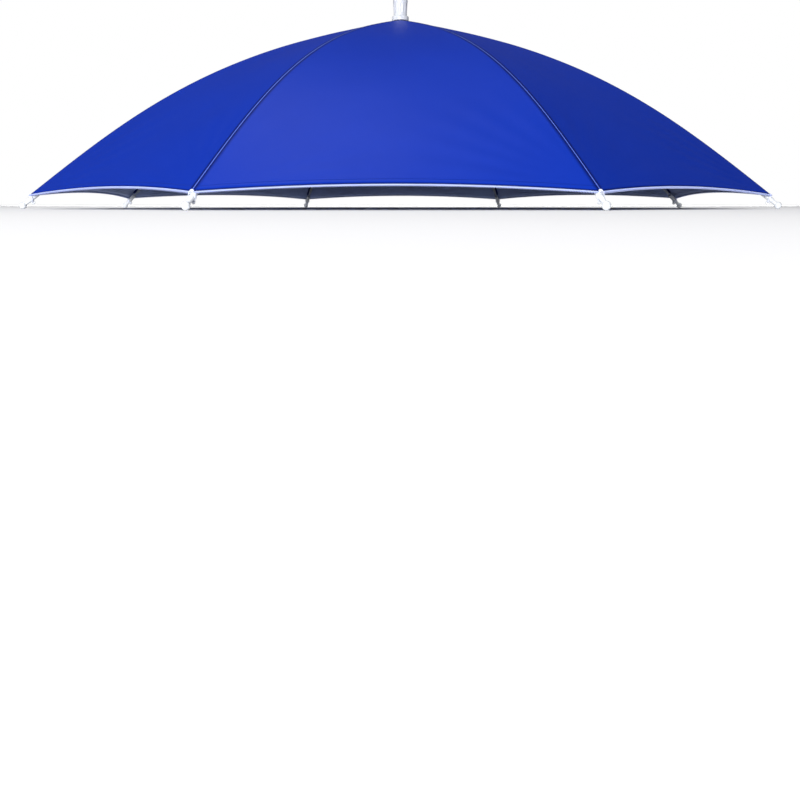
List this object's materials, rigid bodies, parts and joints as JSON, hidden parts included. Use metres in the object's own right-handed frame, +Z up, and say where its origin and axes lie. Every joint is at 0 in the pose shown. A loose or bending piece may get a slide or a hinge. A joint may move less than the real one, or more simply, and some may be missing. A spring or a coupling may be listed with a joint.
{
  "type": "umbrella hat",
  "caption": "Open hands-free umbrella worn as a hat: blue panels with a white hem on sprung steel ribs with ball tips, a ferrule on top and an elastic headband hung inside.",
  "frame": {"origin": "on the hat's axis, in the plane that its eight rib tips rest on", "axes": "+Z up through the ferrule, -Y to the front, with a panel and not a rib facing it"},
  "size_m": [0.5682, 0.5682, 0.1748],
  "materials": {
    "canopy_cloth": "royal blue woven polyester, silver-grey coated inside",
    "hem_thread": "white overlocked rolled hem",
    "frame_steel": "bright zinc-plated channel",
    "white_plastic": "moulded white, glossy",
    "band_elastic": "white woven elastic"
  },
  "bodies": {
    "root": {"canopy_panel_1": "canopy_cloth", "canopy_panel_2": "canopy_cloth", "canopy_panel_3": "canopy_cloth", "canopy_panel_4": "canopy_cloth", "canopy_panel_5": "canopy_cloth", "canopy_panel_6": "canopy_cloth", "canopy_panel_7": "canopy_cloth", "canopy_panel_8": "canopy_cloth", "hem_binding_1": "hem_thread", "hem_binding_2": "hem_thread", "hem_binding_3": "hem_thread", "hem_binding_4": "hem_thread", "hem_binding_5": "hem_thread", "hem_binding_6": "hem_thread", "hem_binding_7": "hem_thread", "hem_binding_8": "hem_thread", "rib_1": "frame_steel", "rib_2": "frame_steel", "rib_3": "frame_steel", "rib_4": "frame_steel", "rib_5": "frame_steel", "rib_6": "frame_steel", "rib_7": "frame_steel", "rib_8": "frame_steel", "rib_tip_1": "white_plastic", "rib_tip_2": "white_plastic", "rib_tip_3": "white_plastic", "rib_tip_4": "white_plastic", "rib_tip_5": "white_plastic", "rib_tip_6": "white_plastic", "rib_tip_7": "white_plastic", "rib_tip_8": "white_plastic", "stretcher_1": "frame_steel", "stretcher_2": "frame_steel", "stretcher_3": "frame_steel", "stretcher_4": "frame_steel", "stretcher_5": "frame_steel", "stretcher_6": "frame_steel", "stretcher_7": "frame_steel", "stretcher_8": "frame_steel", "band_hanger_1": "white_plastic", "band_hanger_2": "white_plastic", "band_hanger_3": "white_plastic", "band_hanger_4": "white_plastic", "band_hanger_5": "white_plastic", "band_hanger_6": "white_plastic", "band_hanger_7": "white_plastic", "band_hanger_8": "white_plastic", "ferrule": "white_plastic", "ferrule_washer": "white_plastic", "hub": "white_plastic", "runner": "white_plastic", "headband": "band_elastic"}
  },
  "joints": []
}
